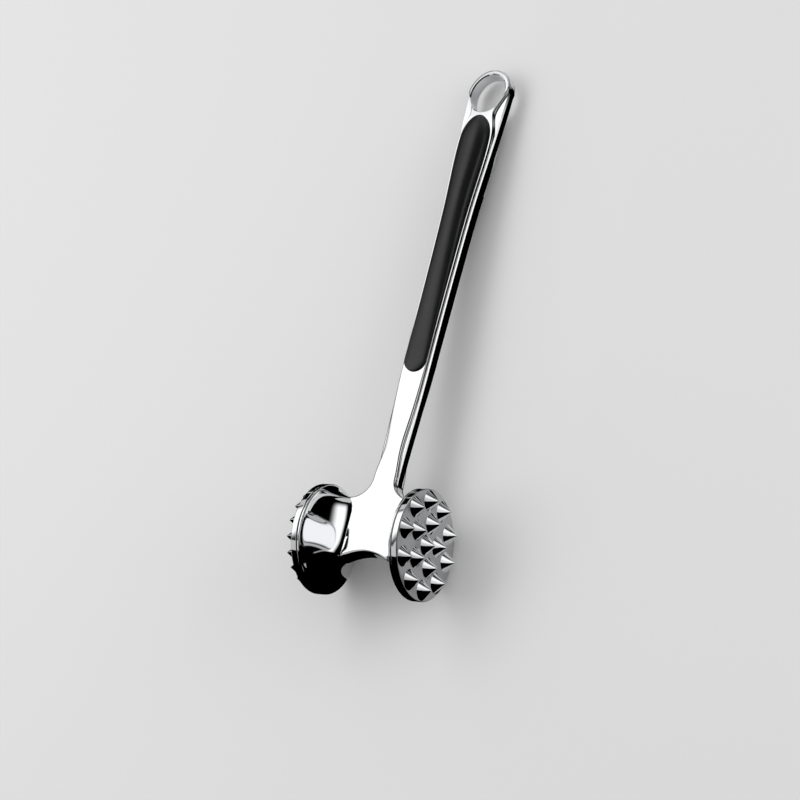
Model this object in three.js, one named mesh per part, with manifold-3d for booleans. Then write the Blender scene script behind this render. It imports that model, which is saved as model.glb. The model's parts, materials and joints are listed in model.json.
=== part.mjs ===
// Two-sided meat mallet: a chromed casting, two studded striking plates and two soft grips.
// Millimetres. X is the head axis, towards the coarse plate. Y runs up the handle, towards the
// hanging eye. Z points out of the front. The finished group lies on its rims and its back grip.

import * as THREE from 'three';
import { mergeVertices } from 'three/addons/utils/BufferGeometryUtils.js';
import Module from 'manifold-3d';

const wasm = await Module();
wasm.setup();

// Fits shared by all pieces
const fitGap = 0.3;
const overrun = 2;

// Head
const faceSpan = 55.2;
const discDiameter = 50;
const plateThickness = 3;
const rimThickness = 1.2;
const lipRound = 0.35;
const webThickness = 9;
const webFlatWidth = 24.2;
const archHeight = 6.3;
const shoulderHeight = 19.2;
const shoulderWidth = 16;
const webEdgeRound = 1.1;
const flareExponent = 1.8;

// Striking plates
const plateEdgeRound = 0.5;
const spigotDiameter = 14;
const spigotLength = 5;
const studTipRadius = 0.3;
const coarseStud = { diameter: 9.5, height: 4.6 };
const fineStud = { diameter: 5.9, height: 4.4 };
const coarseRings = [
  { count: 1, radiusShare: 0, turnShare: 0 },
  { count: 5, radiusShare: 0.41, turnShare: 0 },
  { count: 10, radiusShare: 0.79, turnShare: 0.5 },
];
const fineRings = [
  { count: 1, radiusShare: 0, turnShare: 0 },
  { count: 6, radiusShare: 0.29, turnShare: 0 },
  { count: 12, radiusShare: 0.57, turnShare: 0.5 },
  { count: 18, radiusShare: 0.85, turnShare: 0.5 },
];

// Handle
const reach = 246.5;
const rootRadius = 9.5;
const rootHeight = 20;
const rootWidth = 12.4;
const bandThickness = 5.4;
const bandEdgeRound = 0.9;
const crestEdgeRound = 1;
const creaseStep = 0.25;
const crestMergeAngle = THREE.MathUtils.degToRad(12);

// Hanging eye
const eyeWidth = 22.8;
const eyeLength = 27.8;
const eyeHoleWidth = 17.8;
const eyeHoleLength = 21.4;
const eyeChamfer = 0.5;
const tipThickness = 6.2;

// Soft grips
const gripStart = 83.4;
const gripEnd = 219;
const gripNearRound = 5.5;
const gripFarRound = 13;
const pocketWallNear = 0.7;
const pocketWallFar = 1.5;
const pocketDepth = 2.1;
const swell = 0.4;
const crownHeight = 4.5;
const pegDiameter = 3;
const pegLength = 1.6;
const pegCount = 3;

// Half-widths up the handle, as [share of the way from root to eye, share of the eye's half-width]
const bandShares = [
  [0.054, 0.55], [0.143, 0.59], [0.242, 0.62], [0.366, 0.615], [0.465, 0.622],
  [0.589, 0.655], [0.712, 0.72], [0.831, 0.846], [0.9, 0.92], [0.95, 0.962],
];
const crestShares = [
  [0.054, 0.455], [0.143, 0.5], [0.242, 0.565], [0.366, 0.572], [0.465, 0.585],
  [0.589, 0.615], [0.712, 0.675], [0.831, 0.79], [0.875, 0.785], [0.906, 0.715],
  [0.931, 0.6], [0.945, 0.575], [0.96, 0.63], [0.976, 0.745], [0.991, 0.865],
];

// Height of a grip's crown, as [share of the grip's length, share of the largest height]
const crownShares = [
  [0, 0.3], [0.12, 0.35], [0.31, 0.5], [0.49, 0.72], [0.71, 0.96], [0.86, 1], [1, 0.96],
];

// Finishes
const chrome = { color: 0xd9dbdd, roughness: 0.06, metalness: 1 };
const satin = { color: 0xb4b6b9, roughness: 0.28, metalness: 1 };
const softBlack = { color: 0x1a1b1c, roughness: 0.62, metalness: 0 };

const discRadius = discDiameter / 2;
const seatX = faceSpan / 2 - plateThickness - fitGap;
const flareEnd = seatX - rimThickness + lipRound;
const webHalf = webThickness / 2;
const rootTop = rootHeight + rootRadius;
const rootOuter = rootWidth / 2 + rootRadius;
const eyeCentre = reach - eyeLength / 2;
const eyeHalf = eyeWidth / 2;
const pocketFloor = webHalf - pocketDepth;

// Welds a closed geometry by position and drops triangles that have collapsed on an axis.
function solidFrom(geometry) {
  const bare = geometry.clone();
  bare.deleteAttribute('normal');
  bare.deleteAttribute('uv');
  const welded = mergeVertices(bare);
  const corners = welded.index.array;
  const kept = [];
  for (let i = 0; i < corners.length; i += 3) {
    const [a, b, c] = [corners[i], corners[i + 1], corners[i + 2]];
    if (a !== b && b !== c && c !== a) kept.push(a, b, c);
  }
  const vertProperties = new Float32Array(welded.attributes.position.array);
  const mesh = new wasm.Mesh({ numProp: 3, vertProperties, triVerts: new Uint32Array(kept) });
  return new wasm.Manifold(mesh);
}

function geometryFrom(solid) {
  const mesh = solid.getMesh();
  const geometry = new THREE.BufferGeometry();
  geometry.setAttribute('position', new THREE.BufferAttribute(mesh.vertProperties, 3));
  geometry.setIndex(new THREE.BufferAttribute(mesh.triVerts, 1));
  geometry.computeVertexNormals();
  return geometry;
}

function joined(solids) {
  return solids.reduce((whole, solid) => whole.add(solid));
}

// Skins a stack of rings with equal point counts. `flatten` gives the plane that the caps lie in.
function loft(rings, flatten) {
  const count = rings[0].length;
  const positions = rings.flat().flatMap((point) => point.toArray());
  const triangles = [];
  for (let r = 0; r < rings.length - 1; r += 1) {
    for (let i = 0; i < count; i += 1) {
      const next = (i + 1) % count;
      const [a, b] = [r * count + i, r * count + next];
      const [c, d] = [a + count, b + count];
      triangles.push(a, b, d, a, d, c);
    }
  }
  const top = (rings.length - 1) * count;
  for (const [a, b, c] of THREE.ShapeUtils.triangulateShape(rings[0].map(flatten), [])) {
    triangles.push(a, c, b, top + a, top + b, top + c);
  }
  const geometry = new THREE.BufferGeometry();
  geometry.setAttribute('position', new THREE.Float32BufferAttribute(positions, 3));
  geometry.setIndex(triangles);
  return geometry;
}

// A flare that leaves `waist` level at `from` and meets the disc's edge square at `flareEnd`.
function flare(x, from, waist) {
  const along = THREE.MathUtils.clamp((Math.abs(x) - from) / (flareEnd - from), 0, 1);
  const risen = 1 - (1 - along ** flareExponent) ** (1 / flareExponent);
  return waist + (discRadius - waist) * risen;
}

// One cross-section of the head: a rounded oblong at the web that grows into the round disc.
function headSection(x) {
  const cornerSteps = 8;
  const roundestShare = 0.985;
  const half = flare(x, webFlatWidth / 2, webHalf);
  const below = flare(x, 0, archHeight);
  const above = flare(x, shoulderWidth / 2, shoulderHeight);
  const grown = (half - webHalf) / (discRadius - webHalf);
  const corner = THREE.MathUtils.lerp(webEdgeRound, discRadius * roundestShare, grown);
  const ring = [];
  for (let quarter = 0; quarter < 4; quarter += 1) {
    const centreY = quarter === 0 || quarter === 3 ? above - corner : corner - below;
    const centreZ = quarter < 2 ? half - corner : corner - half;
    for (let step = 0; step <= cornerSteps; step += 1) {
      const angle = (quarter + step / cornerSteps) * Math.PI / 2;
      const y = centreY + corner * Math.cos(angle);
      const z = centreZ + corner * Math.sin(angle);
      ring.push(new THREE.Vector3(x, y, z));
    }
  }
  return ring;
}

// The waisted neck between the discs, with flat front and back faces and an arched underside.
function neck() {
  const flareSteps = 7;
  const webStationShares = [0, 0.35, 0.7, 1];
  const half = webStationShares.map((share) => share * webFlatWidth / 2);
  for (let step = 1; step <= flareSteps; step += 1) {
    const risen = Math.sin(step / flareSteps * Math.PI / 2) ** (2 / flareExponent);
    half.push(THREE.MathUtils.lerp(webFlatWidth / 2, flareEnd, risen));
  }
  const mirrored = half.slice(1).reverse().map((x) => -x);
  const rings = [...mirrored, ...half].map(headSection);
  return solidFrom(loft(rings, (point) => new THREE.Vector2(point.y, point.z)));
}

// Revolves a profile of [distance along X, radius] points round the head axis.
function turned(profile, sides) {
  const points = profile.map(([along, radius]) => new THREE.Vector2(radius, along));
  return solidFrom(new THREE.LatheGeometry(points, sides).rotateZ(-Math.PI / 2));
}

// Profile points of a rounded outer edge, from the disc's flat side to its rim or back again.
function roundedEdge(x, radius, round, startAngle) {
  const steps = 2;
  const points = [];
  for (let step = 0; step <= steps; step += 1) {
    const angle = startAngle + step / steps * Math.PI / 2;
    points.push([x + round * Math.sin(angle), radius + round * Math.cos(angle)]);
  }
  return points;
}

const rimSides = 56;

function rim() {
  const innerX = seatX - rimThickness;
  return turned([
    [innerX, 0],
    ...roundedEdge(innerX + lipRound, discRadius - lipRound, lipRound, -Math.PI / 2),
    ...roundedEdge(seatX - lipRound, discRadius - lipRound, lipRound, 0),
    [seatX, 0],
  ], rimSides);
}

function spigotSocket() {
  const radius = spigotDiameter / 2 + fitGap;
  return turned([
    [seatX - spigotLength, 0],
    [seatX - spigotLength, radius],
    [seatX + overrun, radius],
    [seatX + overrun, 0],
  ], rimSides / 2);
}

function toFarSide(solid) {
  return solid.rotate([0, 0, 180]);
}

// A sharp cone with a blunt tip, standing on the striking face.
function stud(size, sides) {
  const faceX = faceSpan / 2;
  const sunkRadius = size.diameter / 2 * (1 + plateEdgeRound / size.height);
  return turned([
    [faceX - plateEdgeRound, 0],
    [faceX - plateEdgeRound, sunkRadius],
    [faceX + size.height - studTipRadius, studTipRadius],
    [faceX + size.height, 0],
  ], sides);
}

// A striking plate with its studs in rings and a spigot behind, which seats in the casting.
function strikingPlate(size, rings, sides) {
  const backX = faceSpan / 2 - plateThickness;
  const faceX = faceSpan / 2;
  const disc = turned([
    [backX - spigotLength, 0],
    [backX - spigotLength, spigotDiameter / 2],
    [backX, spigotDiameter / 2],
    ...roundedEdge(backX + lipRound, discRadius - lipRound, lipRound, -Math.PI / 2),
    ...roundedEdge(faceX - plateEdgeRound, discRadius - plateEdgeRound, plateEdgeRound, 0),
    [faceX, 0],
  ], rimSides);
  const one = stud(size, sides);
  const studs = [];
  for (const { count, radiusShare, turnShare } of rings) {
    for (let i = 0; i < count; i += 1) {
      const angle = (i + turnShare) / count * 2 * Math.PI;
      const radius = radiusShare * discRadius;
      studs.push(one.translate([0, radius * Math.cos(angle), radius * Math.sin(angle)]));
    }
  }
  return joined([disc, ...studs]);
}

function heightAt(share) {
  return THREE.MathUtils.lerp(rootTop, eyeCentre, share);
}

// Outline of a handle layer, `inset` inside the table's half-widths, from root to closed tip.
// The sides follow the table up to `eyeAngle` on the eye's oval and the oval closes the tip.
function handleOutline(shares, inset, eyeAngle) {
  const rootSteps = 5;
  const eyeSteps = 8;
  const stepsPerShare = 2;
  const eyeX = eyeHalf - inset;
  const eyeY = eyeLength / 2 - inset;
  const fillet = new THREE.EllipseCurve(
    rootOuter, rootTop, rootRadius + inset, rootRadius + inset, -Math.PI / 2, -Math.PI, true,
  );
  const eye = new THREE.EllipseCurve(0, eyeCentre, eyeX, eyeY, eyeAngle, Math.PI / 2);
  const table = shares.map(([along, wide]) => new THREE.Vector2(wide * eyeHalf - inset, heightAt(along)));
  const sides = new THREE.SplineCurve([fillet.getPoint(1), ...table, eye.getPoint(0)]);
  const right = [
    new THREE.Vector2(rootOuter, 0),
    ...fillet.getPoints(rootSteps),
    ...sides.getPoints(shares.length * stepsPerShare).slice(1, -1),
    ...eye.getPoints(eyeSteps),
  ];
  const left = right.slice(0, -1).reverse().map((point) => new THREE.Vector2(-point.x, point.y));
  return new THREE.Shape([...right, ...left]);
}

function roundedSlab(outline, thickness, round) {
  const geometry = new THREE.ExtrudeGeometry(outline, {
    depth: thickness - 2 * round,
    bevelThickness: round,
    bevelSize: round,
    bevelOffset: -round,
    bevelSegments: 2,
    curveSegments: 1,
  });
  return solidFrom(geometry.translate(0, 0, round - thickness / 2));
}

// Rings of an oval through cutter that opens into a chamfer at both faces.
function eyeHole() {
  const steps = 28;
  const depth = webHalf - eyeChamfer;
  const levels = [
    [-webHalf - overrun, eyeChamfer + overrun],
    [-depth, 0],
    [depth, 0],
    [webHalf + overrun, eyeChamfer + overrun],
  ];
  const rings = levels.map(([z, grown]) => {
    const oval = new THREE.EllipseCurve(0, eyeCentre, eyeHoleWidth / 2 + grown, eyeHoleLength / 2 + grown);
    return oval.getPoints(steps).slice(1).map((point) => new THREE.Vector3(point.x, point.y, z));
  });
  return solidFrom(loft(rings, (point) => new THREE.Vector2(point.x, point.y)));
}

// The handle thins from the end of the grips to the tip.
function thinned(solid) {
  const tipShare = tipThickness / webThickness;
  return solid.warp((vertex) => {
    const along = THREE.MathUtils.clamp((vertex[1] - gripEnd) / (reach - gripEnd), 0, 1);
    vertex[2] *= THREE.MathUtils.lerp(1, tipShare, along);
  });
}

// A size that varies smoothly up the handle through [place, size] points, as a function of place.
function varying(points) {
  const stepsPerPoint = 12;
  const curve = new THREE.SplineCurve(points.map(([place, size]) => new THREE.Vector2(place, size)));
  const samples = curve.getPoints(points.length * stepsPerPoint);
  return (y) => {
    const upper = Math.max(samples.findIndex((point) => point.x >= y), 1);
    const [low, high] = [samples[upper - 1], samples[upper]];
    return THREE.MathUtils.mapLinear(y, low.x, high.x, low.y, high.y);
  };
}

const crestHalfAt = varying(crestShares.map(([along, wide]) => [heightAt(along), wide * eyeHalf]));
const crownAt = varying(crownShares.map(([along, high]) => {
  return [THREE.MathUtils.lerp(gripStart, gripEnd, along), high * crownHeight];
}));

// Outline points of a grip, each with the point of the centre line that it shrinks towards.
function gripOutline(grown) {
  const endSteps = 8;
  const sideSteps = 12;
  const widthAt = (y) => {
    const wall = THREE.MathUtils.mapLinear(y, gripStart, gripEnd, pocketWallNear, pocketWallFar);
    return crestHalfAt(y) - creaseStep - wall - fitGap + grown;
  };
  const nearY = gripStart + gripNearRound;
  const farY = gripEnd - gripFarRound;
  const side = [];
  for (let step = 0; step <= endSteps; step += 1) {
    const angle = (step / endSteps - 1) * Math.PI / 2;
    const y = nearY + (gripNearRound + grown) * Math.sin(angle);
    side.push({ x: widthAt(nearY) * Math.cos(angle), y, spine: nearY });
  }
  for (let step = 1; step < sideSteps; step += 1) {
    const y = THREE.MathUtils.lerp(nearY, farY, step / sideSteps);
    side.push({ x: widthAt(y), y, spine: y });
  }
  for (let step = 0; step <= endSteps; step += 1) {
    const angle = step / endSteps * Math.PI / 2;
    const y = farY + (gripFarRound + grown) * Math.sin(angle);
    side.push({ x: widthAt(farY) * Math.cos(angle), y, spine: farY });
  }
  const mirrored = side.slice(1, -1).reverse().map((point) => ({ ...point, x: -point.x }));
  return [...side, ...mirrored];
}

// Stacks the grip's outline at levels of { z, grown, left, raised }: its height and growth, the
// share of the outline that is left there, and the share of the crown that it is raised by.
function gripLoft(levels) {
  const rings = levels.map(({ z, grown, left = 1, raised = 0 }) => {
    return gripOutline(grown).map(({ x, y, spine }) => {
      const lift = raised * (crownAt(spine) - fitGap);
      return new THREE.Vector3(x * left, THREE.MathUtils.lerp(spine, y, left), z + lift);
    });
  });
  return solidFrom(loft(rings, (point) => new THREE.Vector2(point.x, point.y)));
}

function pegs(radius, bottom, top) {
  const sides = 16;
  const peg = new THREE.CylinderGeometry(radius, radius, top - bottom, sides).rotateX(Math.PI / 2);
  const first = gripStart + gripNearRound + gripFarRound;
  const last = gripEnd - 2 * gripFarRound;
  const solids = [];
  for (let i = 0; i < pegCount; i += 1) {
    const y = THREE.MathUtils.lerp(first, last, i / (pegCount - 1));
    solids.push(solidFrom(peg.clone().translate(0, y, (top + bottom) / 2)));
  }
  return joined(solids);
}

// Pocket for one grip, with blind holes in its floor for the grip's pegs.
function gripPocket() {
  const pocket = gripLoft([
    { z: pocketFloor, grown: fitGap },
    { z: webHalf + overrun, grown: fitGap },
  ]);
  const holeBottom = pocketFloor - pegLength;
  return pocket.add(pegs(pegDiameter / 2 + fitGap, holeBottom, pocketFloor + fitGap));
}

// A soft grip: straight sides in the pocket, a lip swelling over its wall and a crowned top.
function softGrip() {
  const crownSteps = 6;
  const lipZ = webHalf + fitGap;
  const flatShare = 0.12;
  const base = pocketFloor + fitGap;
  const levels = [
    { z: base, grown: 0 },
    { z: lipZ, grown: 0 },
    { z: lipZ, grown: swell },
  ];
  for (let step = 1; step <= crownSteps; step += 1) {
    const angle = step / crownSteps * Math.acos(flatShare);
    levels.push({ z: lipZ, grown: swell, left: Math.cos(angle), raised: Math.sin(angle) });
  }
  return gripLoft(levels).add(pegs(pegDiameter / 2, base - pegLength, base + fitGap));
}

function toBack(solid) {
  return solid.rotate([0, 180, 0]);
}

function bodyCasting() {
  const bandOutline = handleOutline(bandShares, 0, 0);
  const crestOutline = handleOutline(crestShares, creaseStep, crestMergeAngle);
  const band = roundedSlab(bandOutline, bandThickness, bandEdgeRound);
  const crest = roundedSlab(crestOutline, webThickness, crestEdgeRound);
  const handle = thinned(band.add(crest).subtract(eyeHole()));
  const disc = rim();
  const socket = spigotSocket();
  const pocket = gripPocket();
  const whole = joined([neck(), disc, toFarSide(disc), handle]);
  return whole
    .subtract(joined([socket, toFarSide(socket)]))
    .subtract(joined([pocket, toBack(pocket)]));
}

function piece(name, solid, finish) {
  const mesh = new THREE.Mesh(geometryFrom(solid), new THREE.MeshStandardMaterial(finish));
  mesh.name = name;
  return mesh;
}

// The turn about X at which the handle first touches the plane that both rims lie on.
function restAngle(meshes) {
  const vertex = new THREE.Vector3();
  const pastHead = Math.max(rootTop, discRadius);
  let angle = Math.PI / 2;
  for (const { geometry: { attributes: { position } } } of meshes) {
    for (let i = 0; i < position.count; i += 1) {
      vertex.fromBufferAttribute(position, i);
      if (vertex.y < pastHead) continue;
      const distance = Math.hypot(vertex.y, vertex.z);
      angle = Math.min(angle, Math.asin(discRadius / distance) + Math.atan2(vertex.z, vertex.y));
    }
  }
  return angle;
}

const coarseSides = 16;
const fineSides = 10;

const mallet = new THREE.Group();
mallet.add(piece('body_casting', bodyCasting(), chrome));
mallet.add(piece('coarse_striking_plate', strikingPlate(coarseStud, coarseRings, coarseSides), satin));
const finePlate = toFarSide(strikingPlate(fineStud, fineRings, fineSides));
mallet.add(piece('fine_striking_plate', finePlate, satin));
mallet.add(piece('front_grip', softGrip(), softBlack));
mallet.add(piece('back_grip', toBack(softGrip()), softBlack));

// Lay it down on the rims and the back grip, with the middle of its outline over the origin.
mallet.rotation.x = -restAngle(mallet.children);
const bounds = new THREE.Box3().setFromObject(mallet, true);
const middle = bounds.getCenter(new THREE.Vector3());
mallet.position.set(-middle.x, -middle.y, -bounds.min.z);

const lying = new THREE.Group();
lying.add(mallet);

export default lying;
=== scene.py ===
"""Looks of a two-sided meat mallet: polished casting, studded striking plates and soft grips."""

import json
import logging
import math
from collections.abc import Iterable, Mapping, Sequence
from dataclasses import dataclass
from enum import Enum
from functools import cached_property

import bmesh
import bpy
import numpy as np
from mathutils import Matrix, Vector


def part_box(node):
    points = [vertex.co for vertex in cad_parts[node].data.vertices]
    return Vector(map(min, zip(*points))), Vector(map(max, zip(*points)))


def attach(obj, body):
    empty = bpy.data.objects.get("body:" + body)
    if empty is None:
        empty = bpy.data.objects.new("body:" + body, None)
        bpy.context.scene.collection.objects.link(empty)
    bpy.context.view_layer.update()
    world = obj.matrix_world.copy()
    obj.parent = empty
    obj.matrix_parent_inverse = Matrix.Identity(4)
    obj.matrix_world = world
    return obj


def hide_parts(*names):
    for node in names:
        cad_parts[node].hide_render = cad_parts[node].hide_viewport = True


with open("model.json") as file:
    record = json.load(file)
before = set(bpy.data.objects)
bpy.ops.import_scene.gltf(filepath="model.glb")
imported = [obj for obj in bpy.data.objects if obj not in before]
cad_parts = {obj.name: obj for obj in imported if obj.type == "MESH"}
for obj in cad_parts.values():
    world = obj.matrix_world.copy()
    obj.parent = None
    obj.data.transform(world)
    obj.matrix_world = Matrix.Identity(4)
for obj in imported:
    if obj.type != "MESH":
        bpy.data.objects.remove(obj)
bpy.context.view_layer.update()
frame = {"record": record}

LOG = logging.getLogger("mallet")

# Pieces are modelled in millimetres and taken to metres last.
MILLIMETRE = 0.001
# Points of a finished piece that are closer than this, in metres, become one.
WELD = 0.002 * MILLIMETRE
# How far a cutter runs past the face that it starts from.
OVERRUN = 2.0
# The play between a fitted piece and its pocket.
FIT_GAP = 0.3
# The range in which most of a noise pattern's values lie.
NOISE_LOW, NOISE_HIGH = 0.3, 0.7

Solid = bpy.types.Object
Material = bpy.types.Material
Socket = bpy.types.NodeSocket
Section = list[Vector]
Shares = tuple[tuple[float, float], ...]
Colour = tuple[float, float, float]
Constants = tuple[tuple[str, float], ...]


def lerp(start: float, end: float, share: float) -> float:
    """Return the value that lies `share` of the way from `start` to `end`."""
    return start + (end - start) * share


def clamp(value: float, low: float = 0.0, high: float = 1.0) -> float:
    """Return `value` held between `low` and `high`."""
    return max(low, min(high, value))


@dataclass(frozen=True)
class MalletAxes:
    """The mallet's own axes: X along the head, Y up the handle, Z out of the front."""

    centre: Vector
    tilt: float

    @classmethod
    def from_frame(cls) -> "MalletAxes":
        """Read the head's centre and the handle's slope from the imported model.

        Returns:
            The axes in which every piece is modelled, in millimetres.
        """
        plate_low, plate_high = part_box("coarse_striking_plate")
        body_low, body_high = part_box("body_casting")
        centre = (plate_low + plate_high) / 2
        centre.x = (body_low.x + body_high.x) / 2
        faces = [m for m in frame["record"]["mounts"] if m["kind"] == "flat_face"]
        _, across, out = faces[0]["axis"]
        return cls(centre, math.atan2(across, out))

    def turn(self) -> Matrix:
        """Return the matrix from these axes, in metres, to the row frame."""
        return Matrix.Translation(self.centre) @ Matrix.Rotation(-self.tilt, 4, "X")

    def to_row(self) -> Matrix:
        """Return the matrix from these axes, in millimetres, to the row frame."""
        return self.turn() @ Matrix.Scale(MILLIMETRE, 4)


class SmoothTable:
    """A size that runs through the rows of a table without any jump in slope or curvature."""

    def __init__(self, rows: Sequence[tuple[float, float]], end: float = 0.0) -> None:
        """Solve for the slopes at the rows. The slope at the first row is 0.

        Args:
            rows: Place and size, in rising places.
            end: Slope at the last row.
        """
        self.places = np.array([place for place, _ in rows])
        self.sizes = np.array([size for _, size in rows])
        count = len(rows)
        steps = np.diff(self.places)
        rises = np.diff(self.sizes)
        matrix = np.eye(count)
        target = np.zeros(count)
        target[-1] = end
        for i in range(1, count - 1):
            before, after = 1 / steps[i - 1], 1 / steps[i]
            matrix[i, i - 1:i + 2] = before, 2 * (before + after), after
            target[i] = 3 * (rises[i - 1] * before ** 2 + rises[i] * after ** 2)
        self.slopes = np.linalg.solve(matrix, target)

    def at(self, place: float) -> float:
        """Read the table.

        Args:
            place: Where the size is wanted, which is held to the table's ends.

        Returns:
            The size there.
        """
        place = clamp(place, self.places[0], self.places[-1])
        row = int(clamp(np.searchsorted(self.places, place) - 1, 0, len(self.places) - 2))
        step = self.places[row + 1] - self.places[row]
        t = (place - self.places[row]) / step
        low, high = self.sizes[row], self.sizes[row + 1]
        low_slope, high_slope = self.slopes[row] * step, self.slopes[row + 1] * step
        return (
            low * (1 + 2 * t) * (1 - t) ** 2 + low_slope * t * (1 - t) ** 2
            + high * t ** 2 * (3 - 2 * t) - high_slope * t ** 2 * (1 - t)
        )


def leave_edit() -> None:
    """Go to object mode with nothing selected."""
    if bpy.context.object and bpy.context.object.mode != "OBJECT":
        bpy.ops.object.mode_set(mode="OBJECT")
    bpy.ops.object.select_all(action="DESELECT")


def pick(piece: Solid) -> None:
    """Select one object alone.

    Args:
        piece: The object that becomes selected and active.
    """
    leave_edit()
    piece.select_set(True)
    bpy.context.view_layer.objects.active = piece


def apply_modifier(piece: Solid, kind: str, **settings: object) -> None:
    """Add one modifier to `piece` and apply it.

    Args:
        piece: The object that is changed.
        kind: Blender's name for the modifier's type.
        settings: Values set on the modifier before it is applied.
    """
    pick(piece)
    bpy.ops.object.modifier_add(type=kind)
    modifier = piece.modifiers[-1]
    for name, value in settings.items():
        setattr(modifier, name, value)
    bpy.ops.object.modifier_apply(modifier=modifier.name)


class Cut(Enum):
    """How one solid changes another."""

    JOIN = "UNION"
    REMOVE = "DIFFERENCE"


def combine(piece: Solid, tool: Solid, how: Cut) -> None:
    """Join `tool` to `piece`, or cut it out of `piece`, and delete `tool`.

    Args:
        piece: The solid that is kept.
        tool: The solid that is used up.
        how: Whether it adds or removes.
    """
    apply_modifier(piece, "BOOLEAN", operation=how.value, object=tool, solver="MANIFOLD")
    bpy.data.objects.remove(tool)


def split(piece: Solid, place: Sequence[float], across: Sequence[float]) -> None:
    """Cut the faces of a piece along a plane and keep both sides.

    Args:
        piece: The object whose faces are cut.
        place: A point on the plane.
        across: The direction that the plane stands square to.
    """
    pick(piece)
    bpy.ops.object.mode_set(mode="EDIT")
    bpy.ops.mesh.select_all(action="SELECT")
    bpy.ops.mesh.bisect(plane_co=place, plane_no=across)
    bpy.ops.object.mode_set(mode="OBJECT")


def place_selected(piece: Solid, section: Section) -> None:
    """Put the selected ring of points on a section.

    Args:
        piece: An object in edit mode whose points carry their order in the ring.
        section: Where the points go.
    """
    mesh = bmesh.from_edit_mesh(piece.data)
    order = mesh.verts.layers.int["order"]
    for vertex in mesh.verts:
        if vertex.select:
            vertex.co = section[vertex[order]]
    bmesh.update_edit_mesh(piece.data)


def skin(name: str, sections: Sequence[Section]) -> Solid:
    """Model a closed solid from a disc that is extruded from section to section.

    Args:
        name: The new object's name.
        sections: Rings with equal point counts, from one end to the other.

    Returns:
        The solid, with flat caps at both ends and its faces pointing out.
    """
    leave_edit()
    first = sections[0]
    bpy.ops.mesh.primitive_circle_add(vertices=len(first), fill_type="NGON")
    piece = bpy.context.object
    piece.name = name
    bpy.ops.object.mode_set(mode="EDIT")
    bpy.ops.mesh.select_mode(type="FACE")
    mesh = bmesh.from_edit_mesh(piece.data)
    order = mesh.verts.layers.int.new("order")
    mesh.verts.ensure_lookup_table()
    for vertex in mesh.verts:
        vertex[order] = vertex.index
    place_selected(piece, first)
    for section in sections[1:]:
        bpy.ops.mesh.extrude_region_move()
        place_selected(piece, section)
    bpy.ops.mesh.select_all(action="SELECT")
    bpy.ops.mesh.normals_make_consistent(inside=False)
    bpy.ops.object.mode_set(mode="OBJECT")
    piece.data.attributes.remove(piece.data.attributes["order"])
    return piece


def circle(x: float, radius: float, sides: int) -> Section:
    """Return a ring round the head axis at `x`."""
    angles = (2 * math.pi * i / sides for i in range(sides))
    return [Vector((x, radius * math.cos(a), radius * math.sin(a))) for a in angles]


def arc(steps: int, start: float, end: float) -> list[tuple[float, float]]:
    """Return the cosine and sine at `steps` + 1 even angles, given in degrees."""
    angles = (math.radians(lerp(start, end, i / steps)) for i in range(steps + 1))
    return [(math.cos(a), math.sin(a)) for a in angles]


def finish_mesh(piece: Solid, axes: MalletAxes, crisp_angle: float) -> None:
    """Take a modelled piece to the row frame, weld it and smooth it.

    Args:
        piece: A piece modelled in the mallet's own axes, in millimetres.
        axes: Where those axes lie.
        crisp_angle: Edges sharper than this, in degrees, stay crisp.
    """
    piece.data.transform(axes.to_row())
    pick(piece)
    bpy.ops.object.mode_set(mode="EDIT")
    bpy.ops.mesh.select_all(action="SELECT")
    bpy.ops.mesh.remove_doubles(threshold=WELD)
    bpy.ops.mesh.normals_make_consistent(inside=False)
    bpy.ops.object.mode_set(mode="OBJECT")
    bpy.ops.object.shade_smooth_by_angle(angle=math.radians(crisp_angle))
    apply_modifier(piece, "WEIGHTED_NORMAL", keep_sharp=True)


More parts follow.
